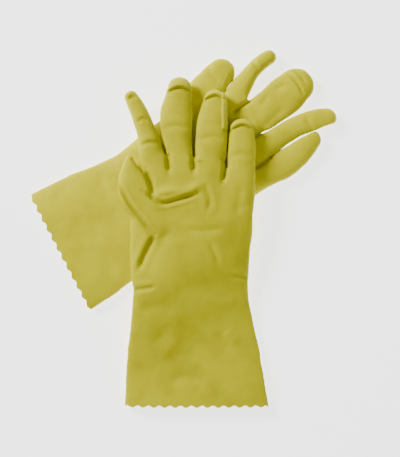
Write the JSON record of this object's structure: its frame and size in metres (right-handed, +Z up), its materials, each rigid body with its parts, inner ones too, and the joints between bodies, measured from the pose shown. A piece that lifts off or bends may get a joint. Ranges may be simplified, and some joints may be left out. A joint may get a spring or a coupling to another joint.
{
  "type": "pair of household rubber gloves",
  "caption": "Two flock-lined household rubber gloves with gauntlet cuffs and pinked edges, laid one over the other, for washing and cleaning.",
  "frame": {"origin": "on the rest surface, under the middle of the pair's bounding box", "axes": "+Z up from the rest surface; +Y along the upper glove from its cuff to its fingers; +X towards its little finger, which is the side the lower glove's fingers point to"},
  "size_m": [0.2831, 0.3246, 0.0299],
  "materials": {
    "latex_palm_side": "semi-matte yellow latex with a fine moulded grip on the palm side",
    "latex_back_side": "smooth semi-matte yellow latex",
    "cotton_flock": "short cotton flock, matt"
  },
  "bodies": {
    "right_hand": {"right_hand": "latex_back_side", "right_hand_lining": "cotton_flock"},
    "right_cuff": {"right_cuff": "latex_back_side", "right_cuff_lining": "cotton_flock"},
    "right_thumb": {"right_thumb": "latex_back_side", "right_thumb_lining": "cotton_flock"},
    "right_index": {"right_index": "latex_back_side", "right_index_lining": "cotton_flock"},
    "right_middle": {"right_middle": "latex_back_side", "right_middle_lining": "cotton_flock"},
    "right_ring": {"right_ring": "latex_back_side", "right_ring_lining": "cotton_flock"},
    "right_little": {"right_little": "latex_back_side", "right_little_lining": "cotton_flock"},
    "left_hand": {"left_hand": "latex_palm_side", "left_hand_lining": "cotton_flock"},
    "left_cuff": {"left_cuff": "latex_palm_side", "left_cuff_lining": "cotton_flock"},
    "left_thumb": {"left_thumb": "latex_palm_side", "left_thumb_lining": "cotton_flock"},
    "left_index": {"left_index": "latex_palm_side", "left_index_lining": "cotton_flock"},
    "left_middle": {"left_middle": "latex_palm_side", "left_middle_lining": "cotton_flock"},
    "left_ring": {"left_ring": "latex_palm_side", "left_ring_lining": "cotton_flock"},
    "left_little": {"left_little": "latex_palm_side", "left_little_lining": "cotton_flock"}
  },
  "joints": [
    {"name": "left_glove_lift", "type": "slide", "parent": "right_hand", "child": "left_hand", "axis": [0, 0, 1], "range_m": [0, 0.15]},
    {"name": "right_thumb_swing", "type": "hinge", "parent": "right_hand", "child": "right_thumb", "pos_m": [-0.01584, 0.10234, 0.006], "axis": [0, 0, 1], "range_deg": [0, 18]},
    {"name": "right_index_bend", "type": "hinge", "parent": "right_hand", "child": "right_index", "pos_m": [0.05775, 0.12501, 0.011], "axis": [0.342, -0.9397, 0], "range_deg": [0, 90]},
    {"name": "right_middle_bend", "type": "hinge", "parent": "right_hand", "child": "right_middle", "pos_m": [0.06632, 0.10147, 0.0116], "axis": [0.342, -0.9397, 0], "range_deg": [0, 90]},
    {"name": "right_ring_bend", "type": "hinge", "parent": "right_hand", "child": "right_ring", "pos_m": [0.07571, 0.07566, 0.0116], "axis": [0.342, -0.9397, 0], "range_deg": [0, 90]},
    {"name": "right_little_bend", "type": "hinge", "parent": "right_hand", "child": "right_little", "pos_m": [0.0836, 0.05399, 0.011], "axis": [0.342, -0.9397, 0], "range_deg": [0, 90]},
    {"name": "right_cuff_turn_back", "type": "hinge", "parent": "right_hand", "child": "right_cuff", "pos_m": [-0.08387, -0.00505, 0.0118], "axis": [-0.5, 0.866, 0], "range_deg": [0, 90]},
    {"name": "left_thumb_bend", "type": "hinge", "parent": "left_hand", "child": "left_thumb", "pos_m": [-0.04014, -0.00199, 0.0266], "axis": [0.1622, 0.9867, 0], "range_deg": [0, 60]},
    {"name": "left_index_bend", "type": "hinge", "parent": "left_hand", "child": "left_index", "pos_m": [-0.02274, 0.0637, 0.0264], "axis": [0.9848, -0.1736, 0], "range_deg": [0, 90]},
    {"name": "left_middle_bend", "type": "hinge", "parent": "left_hand", "child": "left_middle", "pos_m": [0.00095, 0.05953, 0.0264], "axis": [0.9848, -0.1736, 0], "range_deg": [0, 90]},
    {"name": "left_ring_bend", "type": "hinge", "parent": "left_hand", "child": "left_ring", "pos_m": [0.02701, 0.05493, 0.0264], "axis": [0.9848, -0.1736, 0], "range_deg": [0, 90]},
    {"name": "left_little_bend", "type": "hinge", "parent": "left_hand", "child": "left_little", "pos_m": [0.05554, 0.0499, 0.0258], "axis": [0.9848, -0.1736, 0], "range_deg": [0, 90]},
    {"name": "left_cuff_turn_back", "type": "hinge", "parent": "left_hand", "child": "left_cuff", "pos_m": [0.01196, -0.1123, 0.01484], "axis": [-0.9983, 0, 0.0585], "range_deg": [0, 90]}
  ]
}
